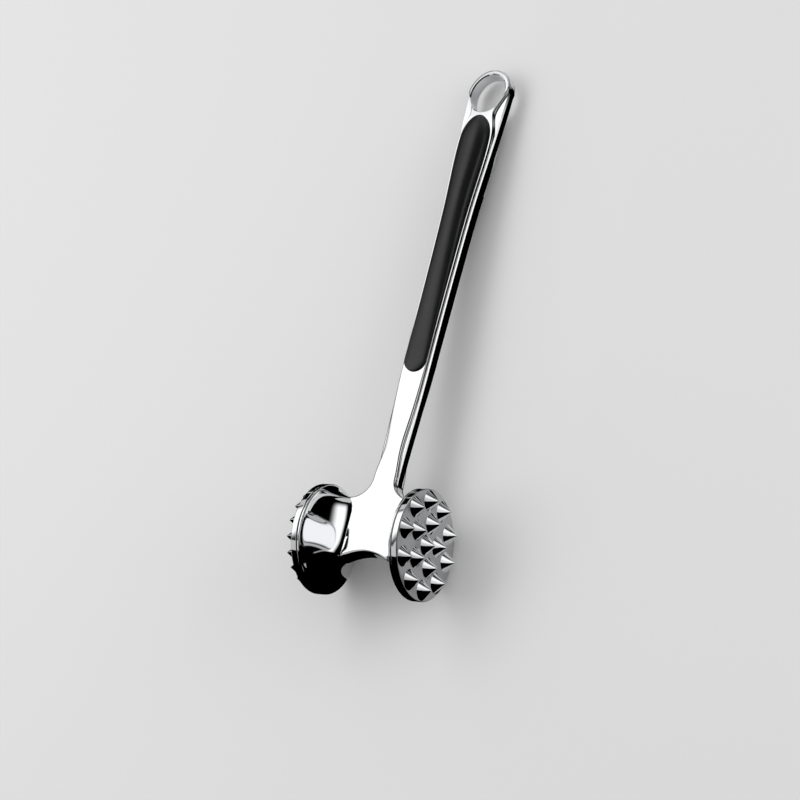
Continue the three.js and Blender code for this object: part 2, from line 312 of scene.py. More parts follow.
class Sheet:
    """Builds the nodes of one material that reads Object coordinates."""

    def __init__(self, name: str, values: Mapping[str, object]) -> None:
        """Start a material with a Principled shader.

        Args:
            name: The material's name.
            values: Constant values for the shader's sockets.
        """
        self.material = bpy.data.materials.new(name)
        self.material.use_nodes = True
        self.nodes = self.material.node_tree.nodes
        self.shader = self.nodes["Principled BSDF"]
        self.place = self.nodes.new("ShaderNodeTexCoord").outputs["Object"]
        for socket, value in values.items():
            self.shader.inputs[socket].default_value = value

    def link(self, output: Socket, target: Socket) -> None:
        """Join two sockets."""
        self.material.node_tree.links.new(output, target)

    def add(self, kind: str, values: Mapping[str, object], **settings: object) -> bpy.types.Node:
        """Add a node.

        Args:
            kind: Blender's name for the node's type.
            values: Constant values for its sockets.
            settings: Its own options, which are set first.

        Returns:
            The node.
        """
        node = self.nodes.new(kind)
        for name, value in settings.items():
            setattr(node, name, value)
        for socket, value in values.items():
            node.inputs[socket].default_value = value
        return node

    def noise(self, scale: float, detail: float) -> Socket:
        """Add a noise pattern.

        Args:
            scale: Repeats in a metre.
            detail: Octaves of finer noise.

        Returns:
            The noise's value, from 0 to 1.
        """
        node = self.add("ShaderNodeTexNoise", {"Scale": scale, "Detail": detail})
        self.link(self.place, node.inputs["Vector"])
        return node.outputs["Fac"]

    def vary(
        self, pattern: Socket, colours: Sequence[Colour], roughness: Sequence[float],
    ) -> None:
        """Vary the shader's colour and roughness by a noise pattern.

        Args:
            pattern: The noise value.
            colours: Colour where it is 0 and where it is 1.
            roughness: Lowest and highest roughness.
        """
        first, second = ((*colour, 1) for colour in colours)
        blend = self.add("ShaderNodeMix", {"A": first, "B": second}, data_type="RGBA")
        self.link(pattern, blend.inputs["Factor"])
        self.link(blend.outputs["Result"], self.shader.inputs["Base Color"])
        low, high = roughness
        ranges = {"From Min": NOISE_LOW, "From Max": NOISE_HIGH, "To Min": low, "To Max": high}
        spread = self.add("ShaderNodeMapRange", ranges)
        self.link(pattern, spread.inputs["Value"])
        self.link(spread.outputs["Result"], self.shader.inputs["Roughness"])

    def bump(self, value: Socket, depth: float, strength: float) -> None:
        """Give the shader relief.

        Args:
            value: The height pattern.
            depth: Its depth in metres.
            strength: Share of the relief that shows.
        """
        node = self.add("ShaderNodeBump", {"Distance": depth, "Strength": strength})
        self.link(value, node.inputs["Height"])
        self.link(node.outputs["Normal"], self.shader.inputs["Normal"])


@dataclass(frozen=True, kw_only=True)
class Finish:
    """A finish with faint patches and a fine grain.

    Attributes:
        colours: Colour where the patches are faintest and where they are strongest.
        roughness: Lowest and highest roughness.
        constants: Values of the shader's other sockets.
        patches: Repeats of the patches in a metre, and octaves of finer noise.
        grain: The same for the grain.
        grain_depth: Depth of the grain in metres.
        grain_strength: Share of the grain that shows.
    """

    name: str
    colours: tuple[Colour, Colour]
    roughness: tuple[float, float]
    constants: Constants
    patches: tuple[float, float]
    grain: tuple[float, float]
    grain_depth: float
    grain_strength: float = 1.0

    def build(self) -> Material:
        """Make the finish.

        Returns:
            The material.
        """
        sheet = Sheet(self.name, dict(self.constants))
        sheet.vary(sheet.noise(*self.patches), self.colours, self.roughness)
        sheet.bump(sheet.noise(*self.grain), self.grain_depth, self.grain_strength)
        return sheet.material


@dataclass(frozen=True, kw_only=True)
class Metal(Finish):
    """A bare or plated metal with smudges in its polish."""

    constants: Constants = (("Metallic", 1.0),)
    patches: tuple[float, float] = (55.0, 5.0)


@dataclass(frozen=True, kw_only=True)
class Rubber(Finish):
    """A matte moulded rubber with worn patches and a faint sheen."""

    constants: Constants = (("Sheen Weight", 0.02), ("Sheen Roughness", 0.45))
    patches: tuple[float, float] = (90.0, 4.0)
    grain_strength: float = 0.5


@dataclass(frozen=True)
class Finishes:
    """The mallet's finishes."""

    chrome: Metal = Metal(
        name="polished_chrome", colours=((0.78, 0.79, 0.8), (0.83, 0.84, 0.85)),
        roughness=(0.035, 0.075), grain=(420, 3), grain_depth=2e-7,
    )
    satin: Metal = Metal(
        name="satin_plate_face", colours=((0.52, 0.525, 0.535), (0.6, 0.605, 0.615)),
        roughness=(0.36, 0.46), grain=(5200, 3), grain_depth=1.2e-5,
    )
    stud: Metal = Metal(
        name="polished_stud", colours=((0.76, 0.77, 0.78), (0.82, 0.83, 0.84)),
        roughness=(0.04, 0.09), grain=(900, 3), grain_depth=3e-7,
    )
    rubber: Rubber = Rubber(
        name="soft_black_grip", colours=((0.006, 0.0063, 0.0066), (0.009, 0.0094, 0.0098)),
        roughness=(0.26, 0.33), grain=(3800, 2), grain_depth=4e-5,
    )


@dataclass(frozen=True)
class Piece:
    """What a finished mesh stands for and how it is dressed."""

    node: str
    slot: str
    materials: tuple[Material, ...]
    crisp_angle: float

    def settle(self, mesh_object: Solid, axes: MalletAxes) -> None:
        """Finish and dress a mesh, let it stand for its node and report it.

        Args:
            mesh_object: The modelled mesh, in the mallet's own axes.
            axes: Where those axes lie.
        """
        finish_mesh(mesh_object, axes, self.crisp_angle)
        mesh_object.data.materials.clear()
        for material in self.materials:
            mesh_object.data.materials.append(material)
        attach(mesh_object, "root")
        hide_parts(self.node)
        mesh_object.data.calc_loop_triangles()
        LOG.info("%s: %d triangles", mesh_object.name, len(mesh_object.data.loop_triangles))


@dataclass(frozen=True)
class Handle:
    """The handle and hanging eye: a side band with a raised crest on both faces.

    Attributes:
        band_shares: The band's half-width, as a share of the eye's, at shares of its height.
        crest_shares: The same for the crest.
        crest_rounds: Radius of the crest's edge at each height.
    """

    half_depth: float = 4.5
    band_half_depth: float = 2.7
    band_bevel: float = 0.7
    crease: float = 0.25
    crease_round: float = 0.3
    reach: float = 246.5
    root_radius: float = 9.5
    root_height: float = 20.0
    root_half: float = 6.2
    eye_half: float = 11.4
    eye_length: float = 27.8
    hole_width: float = 17.8
    hole_length: float = 21.4
    hole_chamfer: float = 0.55
    tip_half_depth: float = 3.1
    thin_from: float = 219.0
    merge_angle: float = 12.0
    dome_height: float = 0.26
    dome_start: float = 28.0
    dome_end: float = 82.0
    dome_fade: float = 18.0
    band_shares: Shares = (
        (0.054, 0.55), (0.143, 0.59), (0.242, 0.62), (0.366, 0.615), (0.465, 0.622),
        (0.589, 0.655), (0.712, 0.72), (0.831, 0.846), (0.9, 0.92), (0.95, 0.967),
    )
    crest_shares: Shares = (
        (0.054, 0.455), (0.143, 0.5), (0.242, 0.565), (0.366, 0.572), (0.465, 0.585),
        (0.589, 0.615), (0.712, 0.675), (0.831, 0.79), (0.875, 0.785), (0.906, 0.715),
        (0.931, 0.6), (0.945, 0.575), (0.96, 0.63), (0.976, 0.745), (0.991, 0.865),
    )
    crest_rounds: Shares = (
        (0.0, 0.02), (9.0, 0.02), (18.0, 0.8), (24.0, 0.9), (68.0, 0.9), (84.0, 0.6),
        (226.0, 0.6), (238.0, 1.0), (247.0, 1.1),
    )

    @property
    def root_top(self) -> float:
        """Height at which the root fillet ends."""
        return self.root_height + self.root_radius

    @property
    def eye_centre(self) -> float:
        """Height of the eye's middle."""
        return self.reach - self.eye_length / 2

    def height(self, share: float) -> float:
        """Return the height at a share of the way from the root to the eye."""
        return lerp(self.root_top, self.eye_centre, share)

    def outline(self, shares: Shares, merge: float) -> list[Vector]:
        """Trace one layer's outline.

        Args:
            shares: The layer's half-widths up the handle.
            merge: Angle on the eye's oval, in degrees, at which the sides meet it.

        Returns:
            Points in the handle's plane, from the right of the root over the tip to the left.
        """
        root_steps, side_steps, eye_steps = 16, 170, 30
        outer = self.root_half + self.root_radius
        eye_y = self.eye_length / 2
        meet = math.radians(merge)
        meet_x, meet_y = self.eye_half * math.cos(meet), self.eye_centre + eye_y * math.sin(meet)
        slope = -self.eye_half / eye_y * math.tan(meet)
        rows = [(self.root_top, self.root_half)]
        rows += [(self.height(along), wide * self.eye_half) for along, wide in shares]
        table = SmoothTable([*rows, (meet_y, meet_x)], end=slope)
        right = [Vector((outer, 0, 0))]
        for cosine, sine in arc(root_steps, -90, -180):
            x = outer + self.root_radius * cosine
            right.append(Vector((x, self.root_top + self.root_radius * sine, 0)))
        for step in range(1, side_steps):
            y = lerp(self.root_top, meet_y, step / side_steps)
            right.append(Vector((table.at(y), y, 0)))
        for cosine, sine in arc(eye_steps, merge, 90):
            right.append(Vector((self.eye_half * cosine, self.eye_centre + eye_y * sine, 0)))
        return right + [Vector((-p.x, p.y, 0)) for p in reversed(right[:-1])]

    @staticmethod
    def outward(points: Sequence[Vector]) -> list[Vector]:
        """Find how the points of an outline move when its sides move out by one.

        Args:
            points: The outline, anticlockwise.

        Returns:
            The move of each point.
        """
        moves = []
        for i in range(len(points)):
            before = points[i] - points[i - 1]
            after = points[(i + 1) % len(points)] - points[i]
            first = Vector((before.y, -before.x, 0)).normalized()
            second = Vector((after.y, -after.x, 0)).normalized()
            moves.append((first + second) / (1 + first.dot(second)))
        return moves

    @staticmethod
    def ring(
        points: Sequence[Vector], moves: Sequence[Vector], levels: Sequence[tuple[float, float]],
    ) -> Section:
        """Return an outline whose points are moved in and raised by their own `levels`."""
        rows = zip(points, moves, levels)
        return [p - move * inset + Vector((0, 0, z)) for p, move, (inset, z) in rows]

    @cached_property
    def edge_radius(self) -> SmoothTable:
        """Radius of the crest's rounded edge as a function of height."""
        return SmoothTable(self.crest_rounds)

    def edge(self, y: float, cosine: float, sine: float) -> tuple[float, float]:
        """Return the inset and level of the crest's rounded edge at height `y`."""
        size = max(self.edge_radius.at(y), self.edge_radius.sizes[0])
        return self.crease + size * (1 - cosine), self.half_depth - self.dome(y) - size * (1 - sine)

    def sections(self) -> list[Section]:
        """Shape the handle as rings.

        Returns:
            The rings, from its back face to its front face.
        """
        crease_steps, edge_steps, dome_steps = 3, 9, 7
        # The last ring stops this part of a step short of the handle's middle.
        step_left = 0.3
        band = self.outline(self.band_shares, 0)
        crest = self.outline(self.crest_shares, self.merge_angle)
        band_moves, crest_moves = self.outward(band), self.outward(crest)
        front: list[Section] = []
        for inset in (0, self.band_bevel):
            z = self.band_half_depth - self.band_bevel + inset
            front.append(self.ring(band, band_moves, [(inset, z)] * len(band)))
        for cosine, sine in arc(crease_steps, 0, 90):
            inset = self.crease - self.crease_round * (1 - sine)
            z = self.band_half_depth + self.crease_round * (1 - cosine)
            front.append(self.ring(crest, crest_moves, [(inset, z)] * len(crest)))
        for cosine, sine in arc(edge_steps, 0, 90):
            levels = [self.edge(point.y, cosine, sine) for point in crest]
            front.append(self.ring(crest, crest_moves, levels))
        rim = front[-1]
        for step in range(1, dome_steps + 1):
            left = math.cos(math.pi / 2 * step / (dome_steps + step_left))
            front.append([
                Vector((p.x * left, p.y, self.half_depth - self.dome(p.y) * left ** 2)) for p in rim
            ])
        back = [[Vector((p.x, p.y, -p.z)) for p in section] for section in reversed(front)]
        return back + front

    def dome(self, y: float) -> float:
        """Return how far the crest's front stands over its edges at height `y`."""
        share = clamp(min(y - self.dome_start, self.dome_end - y) / self.dome_fade)
        return self.dome_height * share ** 2 * (3 - 2 * share)

    def eye_cutter(self) -> Solid:
        """Model the oval cutter of the hanging eye, chamfered at both faces.

        Returns:
            The cutter.
        """
        steps = 144
        past = (self.half_depth + OVERRUN, self.hole_chamfer + OVERRUN)
        levels = [past, (self.half_depth - self.hole_chamfer, 0)]
        sections = []
        for z, grown in [(-z, grown) for z, grown in levels] + levels[::-1]:
            ring = []
            for i in range(steps):
                angle = 2 * math.pi * i / steps
                x = (self.hole_width / 2 + grown) * math.cos(angle)
                y = self.eye_centre + (self.hole_length / 2 + grown) * math.sin(angle)
                ring.append(Vector((x, y, z)))
            sections.append(ring)
        return skin("eye_cutter", sections)

    def thin(self, piece: Solid) -> None:
        """Taper the handle towards its tip.

        Args:
            piece: The modelled handle, which is cut across where the taper starts.
        """
        split(piece, (0, self.thin_from, 0), (0, 1, 0))
        for vertex in piece.data.vertices:
            along = clamp((vertex.co.y - self.thin_from) / (self.reach - self.thin_from))
            vertex.co.z *= lerp(1, self.tip_half_depth / self.half_depth, along)

    def crest_width(self) -> SmoothTable:
        """Return the crest's half-width as a function of height."""
        rows = [(self.height(along), wide * self.eye_half) for along, wide in self.crest_shares]
        return SmoothTable(rows)


@dataclass(frozen=True)
class Grip:
    """A soft crowned inlay that fills a pocket in the handle's crest.

    Attributes:
        wall_near: Width of the crest beside the pocket, at the end towards the head.
        wall_far: The same at the end towards the eye.
        crown_shares: Height of the crown, as a share of its most, at shares of the length.
    """

    handle: Handle = Handle()
    start: float = 83.4
    end: float = 219.0
    near_round: float = 5.5
    far_round: float = 13.0
    wall_near: float = 0.7
    wall_far: float = 1.5
    pocket_depth: float = 2.1
    lip_round: float = 0.35
    swell: float = 0.4
    crown: float = 4.5
    crown_shares: Shares = (
        (0.0, 0.3), (0.12, 0.35), (0.31, 0.5), (0.49, 0.72), (0.71, 0.96), (0.86, 1.0), (1.0, 0.96),
    )

    @property
    def floor(self) -> float:
        """Height of the pocket's floor over the handle's middle plane."""
        return self.handle.half_depth - self.pocket_depth

    def outline(self, grown: float) -> list[tuple[Vector, float]]:
        """Trace the grip's edge.

        Args:
            grown: How far the outline stands out from the grip's own edge.

        Returns:
            Each point, with the height of the spine point that it shrinks towards.
        """
        end_steps, side_steps = 24, 60
        crest = self.handle.crest_width()
        near, far = self.start + self.near_round, self.end - self.far_round

        def half(y: float) -> float:
            """Return the half-width at height `y`."""
            wall = lerp(self.wall_near, self.wall_far, (y - self.start) / (self.end - self.start))
            return crest.at(y) - self.handle.crease - wall - FIT_GAP + grown

        side: list[tuple[Vector, float]] = []
        for cosine, sine in arc(end_steps, -90, 0):
            y = near + (self.near_round + grown) * sine
            side.append((Vector((half(near) * cosine, y, 0)), near))
        for step in range(1, side_steps):
            y = lerp(near, far, step / side_steps)
            side.append((Vector((half(y), y, 0)), y))
        for cosine, sine in arc(end_steps, 0, 90):
            y = far + (self.far_round + grown) * sine
            side.append((Vector((half(far) * cosine, y, 0)), far))
        mirrored = [(Vector((-p.x, p.y, 0)), spine) for p, spine in reversed(side[1:-1])]
        return side + mirrored

    def section(self, z: float, grown: float, left: float = 1.0, raised: float = 0.0) -> Section:
        """Shape one ring of the grip.

        Args:
            z: Height over the handle's middle plane.
            grown: How far the ring stands out from the grip's edge.
            left: Share of the outline that is left.
            raised: Share of the crown's height that is added.

        Returns:
            The ring.
        """
        rows = [(lerp(self.start, self.end, a), h * self.crown) for a, h in self.crown_shares]
        crowns = SmoothTable(rows)
        ring = []
        for point, spine in self.outline(grown):
            lift = raised * (crowns.at(spine) - FIT_GAP)
            ring.append(Vector((point.x * left, lerp(spine, point.y, left), z + lift)))
        return ring

    def pocket_cutter(self, side: int) -> Solid:
        """Return the cutter of the pocket in the front (side 1) or the back (side -1)."""
        levels = [self.section(z, FIT_GAP) for z in (self.floor, self.handle.half_depth + OVERRUN)]
        return skin("pocket_cutter", [self.facing(ring, side) for ring in levels])

    @staticmethod
    def facing(ring: Section, side: int) -> Section:
        """Return `ring` as it is in the front, or turned to the back."""
        return [Vector((p.x * side, p.y, p.z * side)) for p in ring]

    def model(self, name: str, side: int) -> Solid:
        """Model the grip.

        Args:
            name: The new object's name.
            side: 1 for the front, -1 for the back.

        Returns:
            The grip in the mallet's own axes.
        """
        lip_steps, crown_steps, last_left = 4, 20, 0.05
        lip = self.handle.half_depth + FIT_GAP
        rings = [self.section(self.floor + FIT_GAP, 0), self.section(lip - self.lip_round, 0)]
        for cosine, sine in arc(lip_steps, -90, 0):
            z = lip + self.lip_round * (1 + sine)
            rings.append(self.section(z, self.swell - self.lip_round * (1 - cosine)))
        for step in range(1, crown_steps + 1):
            angle = step / crown_steps * math.acos(last_left)
            left, raised = math.cos(angle), math.sin(angle)
            z = lip + self.lip_round * (1 - raised)
            rings.append(self.section(z, self.swell, left, raised))
        return skin(name, [self.facing(ring, side) for ring in rings])


@dataclass(frozen=True)
class Spigot:
    """The plug behind a plate that seats in the casting."""

    radius: float = 7.0
    length: float = 5.0


@dataclass(frozen=True)
class Head:
    """The waisted head: a flat web that flares into a bell at both ends.

    Attributes:
        shoulder: Distance from the head axis up to the neck's top, inside the handle's root.
        web_squareness: How square the web's section is, where 2 is an oval.
        flare_exponent: How late the bells rise above and below.
        dish_exponent: How late they rise in front and behind.
    """

    seat: float = 24.3
    disc_radius: float = 25.0
    rim_thickness: float = 1.2
    lip_round: float = 0.35
    web_half_depth: float = 4.49
    web_flat_half: float = 12.1
    arch: float = 6.3
    shoulder: float = 19.2
    shoulder_half: float = 8.0
    web_squareness: float = 10.0
    flare_exponent: float = 1.8
    dish_exponent: float = 1.32
    rounding: float = 0.32
    quarter_steps: int = 34
    socket_sides: int = 48

    @property
    def flat_inside(self) -> float:
        """Distance along the head that lies well inside the web's flat."""
        return self.web_flat_half - self.rim_thickness

    @property
    def flare_end(self) -> float:
        """Distance along the head at which the bells meet their rims."""
        return self.seat - self.rim_thickness

    @property
    def inner_radius(self) -> float:
        """Radius of the rims without their rounded lips."""
        return self.disc_radius - self.lip_round

    def flare(self, x: float, start: float, waist: float, exponent: float) -> float:
        """Measure from the axis to the flared surface.

        Args:
            x: Distance along the head.
            start: Where the flare leaves the level.
            waist: The distance that it leaves from.
            exponent: How late it rises, where 1 is a plain cone.

        Returns:
            The distance at `x`.
        """
        along = clamp((abs(x) - start) / (self.flare_end - start))
        risen = 1 - (1 - along ** exponent) ** (1 / exponent)
        return lerp(waist, self.inner_radius, risen)

    def directions(self) -> list[tuple[float, float]]:
        """Choose the directions of a section's points, closest together at its corners.

        Returns:
            The cosine and sine of each direction.
        """
        linear_share = 0.45
        pairs = []
        for quarter in range(4):
            for step in range(self.quarter_steps):
                off = 2 * step / self.quarter_steps - 1
                warped = linear_share * off + (1 - linear_share) * off ** 3
                angle = math.pi / 2 * (quarter + (warped + 1) / 2)
                pairs.append((math.cos(angle), math.sin(angle)))
        return pairs

    def section(self, x: float) -> Section:
        """Shape the neck's section, nearly oblong at the web and round at the rims.

        Args:
            x: Distance along the head.

        Returns:
            The ring.
        """
        half = self.flare(x, self.web_flat_half, self.web_half_depth, self.dish_exponent)
        below = self.flare(x, 0, self.arch, self.flare_exponent)
        above = self.flare(x, self.shoulder_half, self.shoulder, self.flare_exponent)
        grown = (half - self.web_half_depth) / (self.inner_radius - self.web_half_depth)
        power = 2 / lerp(2 / self.web_squareness, 1, grown ** self.rounding)
        ring = []
        for cosine, sine in self.directions():
            size = (abs(cosine) ** power + abs(sine) ** power) ** (-1 / power)
            high = above if cosine > 0 else below
            ring.append(Vector((x, high * size * cosine, half * size * sine)))
        return ring

    def rim_ring(self, x: float, radius: float) -> Section:
        """Return a round ring whose points answer those of the neck's sections."""
        return [Vector((x, radius * cosine, radius * sine)) for cosine, sine in self.directions()]

    def model(self) -> Solid:
        """Model the neck with both rims.

        Returns:
            The solid in the mallet's own axes.
        """
        flare_steps, web_steps, lip_steps = 40, 10, 4
        stations = [i / web_steps * self.web_flat_half for i in range(web_steps + 1)]
        for step in range(1, flare_steps + 1):
            risen = math.sin(step / flare_steps * math.pi / 2) ** (2 / self.flare_exponent)
            stations.append(lerp(self.web_flat_half, self.flare_end, risen))
        half = [self.section(x) for x in stations[:-1]]
        lips = ((self.flare_end + self.lip_round, -90, 0), (self.seat - self.lip_round, 0, 90))
        for centre, start, end in lips:
            for cosine, sine in arc(lip_steps, start, end):
                radius = self.inner_radius + self.lip_round * cosine
                half.append(self.rim_ring(centre + self.lip_round * sine, radius))
        mirrored = [[Vector((-p.x, p.y, p.z)) for p in ring] for ring in reversed(half[1:])]
        return skin("head", mirrored + half)

    def socket_cutter(self, side: int, spigot: Spigot) -> Solid:
        """Model the cutter of the blind socket behind one plate.

        Args:
            side: 1 for the plate on the right, -1 for the one on the left.
            spigot: The plug that the socket takes.

        Returns:
            The cutter.
        """
        radius = spigot.radius + FIT_GAP
        ends = (self.seat - spigot.length, self.seat + OVERRUN)
        return skin("socket_cutter", [circle(side * x, radius, self.socket_sides) for x in ends])


@dataclass(frozen=True)
class Stud:
    """One conical stud, whose foot is sunk under the plate's face."""

    diameter: float
    height: float
    tip_radius: float = 0.3
    sunk: float = 0.4
    sides: int = 40

    def model(self, face: float) -> Solid:
        """Model the stud, pointing along the head.

        Args:
            face: Place of the plate's face on the head axis.

        Returns:
            The stud, in the middle of the plate.
        """
        flat_share, bevel_share, bevel_steps = 0.8, 0.6, 3
        foot = self.diameter / 2 * (1 + self.sunk / self.height)
        leave_edit()
        bpy.ops.mesh.primitive_cone_add(
            vertices=self.sides, radius1=foot, radius2=self.tip_radius * flat_share,
            depth=self.height + self.sunk,
        )
        stud = bpy.context.object
        middle = Matrix.Translation((face + (self.height - self.sunk) / 2, 0, 0))
        stud.data.transform(middle @ Matrix.Rotation(math.pi / 2, 4, "Y"))
        bpy.ops.object.mode_set(mode="EDIT")
        bpy.ops.mesh.select_all(action="DESELECT")
        bpy.ops.mesh.select_mode(type="FACE")
        mesh = bmesh.from_edit_mesh(stud.data)
        tip = face + self.height
        for flat in mesh.faces:
            flat.select = flat.calc_center_median().x > tip - self.tip_radius / 2
        bmesh.update_edit_mesh(stud.data)
        bpy.ops.mesh.bevel(
            offset=self.tip_radius * bevel_share, segments=bevel_steps, affect="EDGES",
        )
        bpy.ops.object.mode_set(mode="OBJECT")
        return stud


@dataclass(frozen=True)
class StudRing:
    """A ring of equal studs round the head axis.

    Attributes:
        radius_share: The ring's radius as a share of the plate's.
        turn_share: How far the ring is turned, as a share of the step between two studs.
    """

    count: int
    radius_share: float = 0.0
    turn_share: float = 0.0


@dataclass(frozen=True)
class StrikingPlate:
    """A round plate with rings of studs on its face and a spigot behind."""

    stud: Stud
    rings: tuple[StudRing, ...]
    side: int
    radius: float = 25.0
    face: float = 27.6
    thickness: float = 3.0
    back_round: float = 0.35
    face_round: float = 0.5
    spigot: Spigot = Spigot()
    sides: int = 128

    def disc(self, name: str) -> Solid:
        """Model the plate and its spigot.

        Args:
            name: The new object's name.

        Returns:
            The plate, facing right.
        """
        back_steps, face_steps = 3, 4
        back = self.face - self.thickness
        profile = [(back - self.spigot.length, self.spigot.radius), (back, self.spigot.radius)]
        for cosine, sine in arc(back_steps, -90, 0):
            x = back + self.back_round * (1 + sine)
            profile.append((x, self.radius - self.back_round * (1 - cosine)))
        for cosine, sine in arc(face_steps, 0, 90):
            x = self.face - self.face_round * (1 - sine)
            profile.append((x, self.radius - self.face_round * (1 - cosine)))
        return skin(name, [circle(x, radius, self.sides) for x, radius in profile])

    def studs(self) -> Solid:
        """Model one stud and copy it round every ring.

        Returns:
            All the studs as one object.
        """
        one = self.stud.model(self.face)
        copies = []
        for ring in self.rings:
            for i in range(ring.count):
                angle = (i + ring.turn_share) / ring.count * 2 * math.pi
                radius = ring.radius_share * self.radius
                across = (0, radius * math.cos(angle), radius * math.sin(angle))
                copy = bpy.data.objects.new("stud", one.data.copy())
                copy.data.transform(Matrix.Translation(across))
                bpy.context.scene.collection.objects.link(copy)
                copies.append(copy)
        bpy.data.objects.remove(one)
        leave_edit()
        for copy in copies:
            copy.select_set(True)
        bpy.context.view_layer.objects.active = copies[0]
        bpy.ops.object.join()
        return copies[0]

    def model(self, name: str) -> Solid:
        """Model the plate with its studs, facing its own side.

        Args:
            name: The new object's name.

        Returns:
            The plate in the mallet's own axes.
        """
        plate = self.disc(name)
        combine(plate, self.studs(), Cut.JOIN)
        if self.side < 0:
            plate.data.transform(Matrix.Rotation(math.pi, 4, "Z"))
        return plate

    def paint(self, plate: Solid, axes: MalletAxes) -> None:
        """Give the studs and the plate's edge the second finish and leave the face satin.

        Args:
            plate: The finished plate, in the row frame.
            axes: Where the mallet's own axes lie.
        """
        to_mallet = axes.to_row().inverted()
        for flat in plate.data.polygons:
            centre = to_mallet @ flat.center
            on_face = abs(abs(centre.x) - self.face) < self.face_round / 4
            flat.material_index = 0 if on_face else 1


@dataclass(frozen=True)
class Stance:
    """Where a lamp or card stands and what it faces, in the mallet's own axes and metres."""

    place: tuple[float, float, float]
    aim: tuple[float, float, float] = (0.0, 0.0, 0.0)

    def turn(self, axes: MalletAxes, front: str) -> Matrix:
        """Find how it stands in the row frame.

        Args:
            axes: Where the mallet's own axes lie.
            front: The axis of the lamp or card that points at the aim.

        Returns:
            The matrix to the row frame.
        """
        place = axes.turn() @ Vector(self.place)
        facing = axes.turn() @ Vector(self.aim) - place
        return Matrix.Translation(place) @ facing.to_track_quat(front, "Y").to_matrix().to_4x4()


@dataclass(frozen=True)
class Lamp:
    """A soft rectangular lamp that reflections leave out, with a level like a white card's."""

    name: str
    size: tuple[float, float]
    stance: Stance
    level: float

    def build(self, axes: MalletAxes) -> None:
        """Hang the lamp.

        Args:
            axes: Where the mallet's own axes lie.
        """
        data = bpy.data.lights.new(self.name, "AREA")
        data.shape = "RECTANGLE"
        data.size, data.size_y = self.size
        data.energy = self.level * math.pi * self.size[0] * self.size[1]
        lamp = bpy.data.objects.new(self.name, data)
        lamp.matrix_world = self.stance.turn(axes, "-Z")
        lamp.visible_glossy = False
        bpy.context.scene.collection.objects.link(lamp)


@dataclass(frozen=True)
class Card:
    """A flat rectangle in the studio that only reflections show."""

    name: str
    size: tuple[float, float]

    def sheet(self) -> Sheet:
        """Return a material sheet that reflects nothing."""
        dark = {"Base Color": (0, 0, 0, 1), "Roughness": 1.0, "Specular IOR Level": 0.0}
        return Sheet(self.name, dark)

    def stand(self, sheet: Sheet, where: Matrix) -> None:
        """Stand the card.

        Args:
            sheet: What it is made of.
            where: How it stands in the row frame, with its face along Z.
        """
        leave_edit()
        bpy.ops.mesh.primitive_plane_add(size=1)
        plane = bpy.context.object
        plane.name = self.name
        plane.data.transform(Matrix.Diagonal((*self.size, 1, 1)))
        plane.matrix_world = where
        plane.data.materials.append(sheet.material)
        plane.visible_camera = False
        plane.visible_diffuse = False
        plane.visible_shadow = False


@dataclass(frozen=True)
class Softbox(Card):
    """The face of a lamp as reflections show it, bright inside and fading towards its edges.

    Attributes:
        fade: Share of the way from the middle at which the fall of light starts, across and up.
    """

    stance: Stance
    level: float
    fade: tuple[float, float]

    def build(self, axes: MalletAxes) -> None:
        """Stand the softbox's face.

        Args:
            axes: Where the mallet's own axes lie.
        """
        sheet = self.sheet()
        sheet.shader.inputs["Emission Color"].default_value = (1, 1, 1, 1)
        sheet.link(self.glow(sheet), sheet.shader.inputs["Emission Strength"])
        self.stand(sheet, self.stance.turn(axes, "Z"))

    def glow(self, sheet: Sheet) -> Socket:
        """Make a level that falls to nothing at the softbox's edges.

        Args:
            sheet: The sheet that gets the nodes.

        Returns:
            The level.
        """
        parts = sheet.add("ShaderNodeSeparateXYZ", {})
        sheet.link(sheet.place, parts.inputs["Vector"])
        product = sheet.add("ShaderNodeMath", {}, operation="MULTIPLY")
        rows = zip("XY", self.size, self.fade, (self.level, 1.0), product.inputs)
        for axis, size, share, top, factor in rows:
            away = sheet.add("ShaderNodeMath", {}, operation="ABSOLUTE")
            sheet.link(parts.outputs[axis], away.inputs[0])
            edge = size / 2
            ranges = {"From Min": edge * share, "From Max": edge, "To Min": top, "To Max": 0.0}
            fall = sheet.add("ShaderNodeMapRange", ranges, interpolation_type="SMOOTHSTEP")
            sheet.link(away.outputs[0], fall.inputs["Value"])
            sheet.link(fall.outputs["Result"], factor)
        return product.outputs[0]


@dataclass(frozen=True)
class Flag(Card):
    """A black card that darkens what reflections show behind it."""

    stance: Stance

    def build(self, axes: MalletAxes) -> None:
        """Stand the card."""
        self.stand(self.sheet(), self.stance.turn(axes, "Z"))


@dataclass(frozen=True)
class FloorFlag(Card):
    """A black card just over the floor, placed in the floor's own axes and metres."""

    place: tuple[float, float]
    height: float = 0.0006

    def build(self, _: MalletAxes) -> None:
        """Lay the card."""
        self.stand(self.sheet(), Matrix.Translation((*self.place, self.height)))


